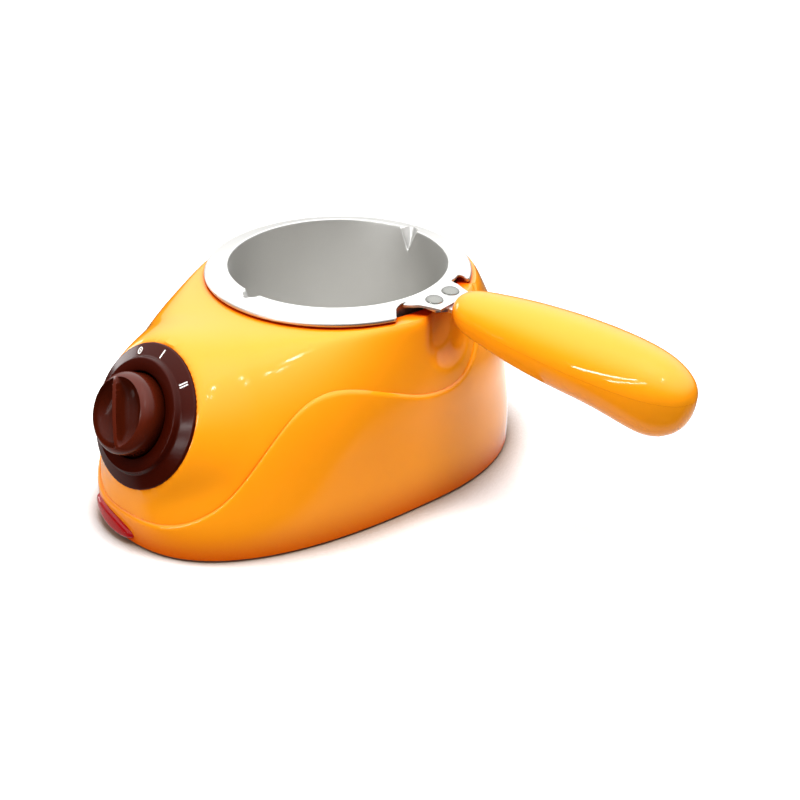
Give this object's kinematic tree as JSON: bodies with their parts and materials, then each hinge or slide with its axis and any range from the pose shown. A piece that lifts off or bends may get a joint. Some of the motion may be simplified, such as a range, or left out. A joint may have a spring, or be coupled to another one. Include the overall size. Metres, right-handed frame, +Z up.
{
  "type": "electric chocolate melting pot",
  "caption": "Tabletop warmer with an egg-shaped body, a rotary heat dial, and a lift-out aluminium pot with pouring lips and a side handle.",
  "frame": {"origin": "on the pot's vertical axis, at the plane of the feet's undersides", "axes": "+Z up along the pot's axis, -Y towards the knob at the front, +X towards the side that carries the handle"},
  "size_m": [0.2282, 0.1999, 0.096],
  "materials": {
    "orange_shell": "glossy moulded ABS",
    "brown_gloss": "glossy moulded phenolic",
    "red_lens": "clear red moulded lens",
    "aluminium_pot": "spun and satin finished",
    "aluminium_plate": "turned",
    "aluminium_sheet": "pressed sheet",
    "steel": "zinc plated steel",
    "rubber": "matt rubber",
    "black_plastic": "matt moulded plastic",
    "white_plastic": "matt moulded plastic",
    "mica": "pressed mica",
    "ceramic": "fired ceramic",
    "glass": "clear glass tube"
  },
  "bodies": {
    "base": {"upper_shell": "orange_shell", "bottom_cover": "orange_shell", "rubber_feet": "rubber", "cover_screws": "steel", "dial_plate": "brown_gloss", "rotary_switch": "black_plastic", "switch_nut": "steel", "lamp_lens": "red_lens", "lamp_holder": "black_plastic", "neon_lamp": "glass", "heat_shield": "aluminium_sheet", "insulating_ring": "mica", "heater_plate": "aluminium_plate", "plate_screws": "steel", "heater_blocks": "ceramic", "element_clamp": "steel", "clamp_screws": "steel", "thermostat": "black_plastic", "thermal_fuse": "white_plastic", "terminal_block": "white_plastic", "cord_gland": "rubber", "cord_clamp": "black_plastic", "cord_clamp_screws": "steel"},
    "knob": {"knob": "brown_gloss", "switch_shaft": "steel"},
    "pot": {"pot": "aluminium_pot", "handle_bracket": "steel", "rivets": "aluminium_sheet", "handle_upper_half": "orange_shell", "handle_lower_half": "orange_shell", "handle_screws": "steel"}
  },
  "joints": [
    {"name": "knob_turn", "type": "hinge", "parent": "base", "child": "knob", "pos_m": [0, -0.10024, 0.05181], "axis": [0, -0.9041, 0.4274], "range_deg": [-69, 0]},
    {"name": "pot_lift", "type": "slide", "parent": "base", "child": "pot", "axis": [0, 0, 1], "range_m": [0, 0.08]}
  ]
}
